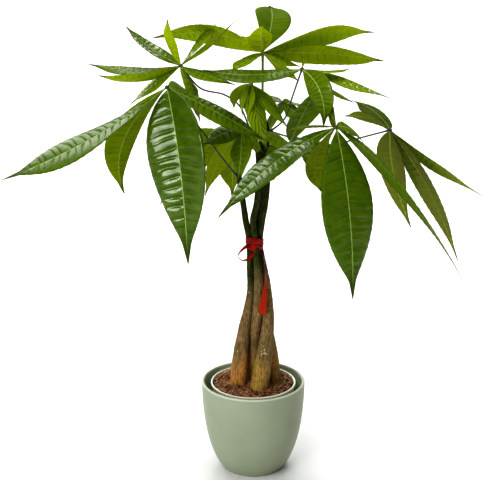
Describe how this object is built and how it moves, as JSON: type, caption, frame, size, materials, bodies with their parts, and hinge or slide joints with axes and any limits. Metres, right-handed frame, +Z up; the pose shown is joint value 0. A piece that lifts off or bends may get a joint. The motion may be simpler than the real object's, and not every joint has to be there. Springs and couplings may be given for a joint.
{
  "type": "potted money tree",
  "caption": "Money tree with a twisted trunk and palm-shaped leaves on long stalks, in a nursery pot with potting mix inside a ceramic cover pot.",
  "frame": {"origin": "middle of the flat foot that the cover pot stands on", "axes": "+Z up along the pot's axis, +X to the right and +Y away from the side that is shown in front"},
  "size_m": [0.7076, 0.4188, 0.7123],
  "materials": {
    "cover_pot": "satin",
    "nursery_pot": "matte",
    "potting_mix": "matte",
    "bark": "matte",
    "ribbon": "satin",
    "leaf": "satin",
    "young_leaf": "satin"
  },
  "bodies": {
    "root": {"cover_pot": "cover_pot", "nursery_pot": "nursery_pot", "potting_mix": "potting_mix", "ribbon": "ribbon", "stem_left": "bark", "stem_middle": "bark", "stem_front": "bark", "stem_right": "bark", "leaf_upper_left": "leaf", "leaf_left": "leaf", "leaf_top": "leaf", "leaf_upper_right": "leaf", "leaf_front_right": "leaf", "leaf_right": "leaf", "leaf_back": "leaf", "leaf_young": "young_leaf", "leaf_inner_left": "leaf", "leaf_inner_right": "leaf", "leaf_back_left": "leaf", "leaf_back_right": "leaf"}
  },
  "joints": []
}
